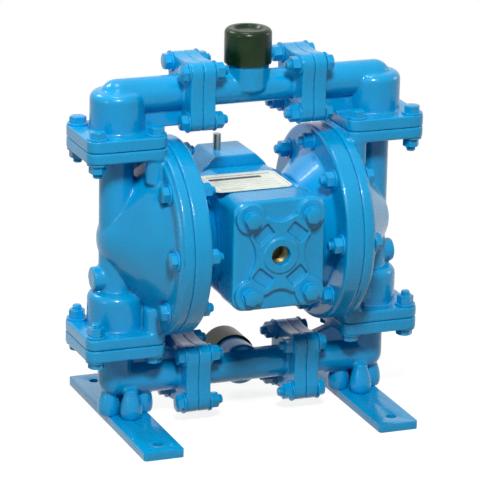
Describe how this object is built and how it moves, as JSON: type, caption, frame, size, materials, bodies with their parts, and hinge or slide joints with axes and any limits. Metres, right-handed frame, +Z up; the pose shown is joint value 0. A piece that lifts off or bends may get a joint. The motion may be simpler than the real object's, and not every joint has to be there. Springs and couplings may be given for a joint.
{
  "type": "air operated diaphragm pump",
  "caption": "Air operated diaphragm pump with domed fluid chambers, ball valve columns, a bolted pipe manifold, capped ports, a centre air block and foot bars.",
  "frame": {"origin": "centre of the foot bolt pattern, on the floor plane under the foot bars", "axes": "+X along the diaphragm rod, to the right as seen from the air inlet; -Y towards the air inlet; +Z up"},
  "size_m": [0.343, 0.226, 0.383],
  "materials": {
    "blue_enamel": "glossy sprayed enamel over cast and machined metal, the fasteners painted with the castings",
    "black_cap_plastic": "soft moulded polyethylene",
    "diaphragm_rubber": "moulded, fabric reinforced",
    "gasket_rubber": "cut sheet",
    "ball_plastic": "turned and polished",
    "acetal": "machined",
    "turned_steel": "turned",
    "plated_steel": "zinc plated",
    "sleeve_aluminium": "hard anodised",
    "bushing_bronze": "sintered bronze",
    "plate_film": "printed film, left blank"
  },
  "bodies": {
    "housing": {"air_inlet_cover": "blue_enamel", "centre_block": "blue_enamel", "cover_bolts": "blue_enamel", "cover_gasket": "gasket_rubber", "discharge_elbow_left": "blue_enamel", "discharge_elbow_right": "blue_enamel", "discharge_seat_left": "acetal", "discharge_seat_right": "acetal", "discharge_tee": "blue_enamel", "flat_flange_bolts": "blue_enamel", "flat_flange_nuts": "blue_enamel", "foot_bar_left": "blue_enamel", "foot_bar_right": "blue_enamel", "foot_screws": "plated_steel", "inner_chamber_left": "blue_enamel", "inner_chamber_right": "blue_enamel", "nameplate": "plate_film", "outer_chamber_left": "blue_enamel", "outer_chamber_right": "blue_enamel", "pilot_valve_body": "acetal", "rim_bolts": "blue_enamel", "rim_nuts": "blue_enamel", "rim_studs": "blue_enamel", "rod_bushings": "bushing_bronze", "rod_seals": "gasket_rubber", "seat_gaskets": "gasket_rubber", "side_flange_bolts": "blue_enamel", "side_flange_nuts": "blue_enamel", "suction_elbow_left": "blue_enamel", "suction_elbow_right": "blue_enamel", "suction_seat_left": "acetal", "suction_seat_right": "acetal", "suction_tee": "blue_enamel", "valve_body": "blue_enamel", "valve_bolts": "blue_enamel", "valve_end_caps": "blue_enamel", "valve_gasket": "gasket_rubber", "valve_pin": "plated_steel", "valve_sleeve": "sleeve_aluminium"},
    "diaphragm_set": {"diaphragm_rod": "turned_steel", "diaphragm_left": "diaphragm_rubber", "diaphragm_right": "diaphragm_rubber", "inner_plate_left": "turned_steel", "inner_plate_right": "turned_steel", "outer_plate_left": "turned_steel", "outer_plate_right": "turned_steel"},
    "suction_ball_left": {"suction_ball_left": "ball_plastic"},
    "suction_ball_right": {"suction_ball_right": "ball_plastic"},
    "discharge_ball_left": {"discharge_ball_left": "ball_plastic"},
    "discharge_ball_right": {"discharge_ball_right": "ball_plastic"},
    "valve_spool": {"valve_spool": "acetal"},
    "pilot_spool": {"pilot_spool": "acetal"},
    "pilot_actuator_left": {"pilot_actuator_left": "turned_steel"},
    "pilot_actuator_right": {"pilot_actuator_right": "turned_steel"},
    "discharge_port_cap": {"discharge_port_cap": "black_cap_plastic"},
    "suction_port_cap": {"suction_port_cap": "black_cap_plastic"}
  },
  "joints": [
    {"name": "rod_stroke", "type": "slide", "parent": "housing", "child": "diaphragm_set", "axis": [1, 0, 0], "range_m": [-0.01, 0.01], "deforming": ["diaphragm_left", "diaphragm_right"]},
    {"name": "suction_ball_left_lift", "type": "slide", "parent": "housing", "child": "suction_ball_left", "axis": [0, 0, 1], "range_m": [0, 0.008]},
    {"name": "suction_ball_right_lift", "type": "slide", "parent": "housing", "child": "suction_ball_right", "axis": [0, 0, 1], "range_m": [0, 0.008]},
    {"name": "discharge_ball_left_lift", "type": "slide", "parent": "housing", "child": "discharge_ball_left", "axis": [0, 0, 1], "range_m": [0, 0.008]},
    {"name": "discharge_ball_right_lift", "type": "slide", "parent": "housing", "child": "discharge_ball_right", "axis": [0, 0, 1], "range_m": [0, 0.008]},
    {"name": "valve_shift", "type": "slide", "parent": "housing", "child": "valve_spool", "axis": [1, 0, 0], "range_m": [-0.006, 0.006]},
    {"name": "pilot_shift", "type": "slide", "parent": "housing", "child": "pilot_spool", "axis": [1, 0, 0], "range_m": [-0.003, 0.003]},
    {"name": "left_actuator_push", "type": "slide", "parent": "housing", "child": "pilot_actuator_left", "axis": [1, 0, 0], "range_m": [-0.003, 0.003]},
    {"name": "right_actuator_push", "type": "slide", "parent": "housing", "child": "pilot_actuator_right", "axis": [1, 0, 0], "range_m": [-0.003, 0.003]},
    {"name": "discharge_cap_pull", "type": "slide", "parent": "housing", "child": "discharge_port_cap", "axis": [0, 0, 1], "range_m": [0, 0.08]},
    {"name": "suction_cap_pull", "type": "slide", "parent": "housing", "child": "suction_port_cap", "axis": [0, 1, 0], "range_m": [0, 0.08]}
  ],
  "couplings": [
    {"joint": "left_actuator_push", "follows": "pilot_shift", "ratio": 1},
    {"joint": "right_actuator_push", "follows": "pilot_shift", "ratio": 1}
  ]
}
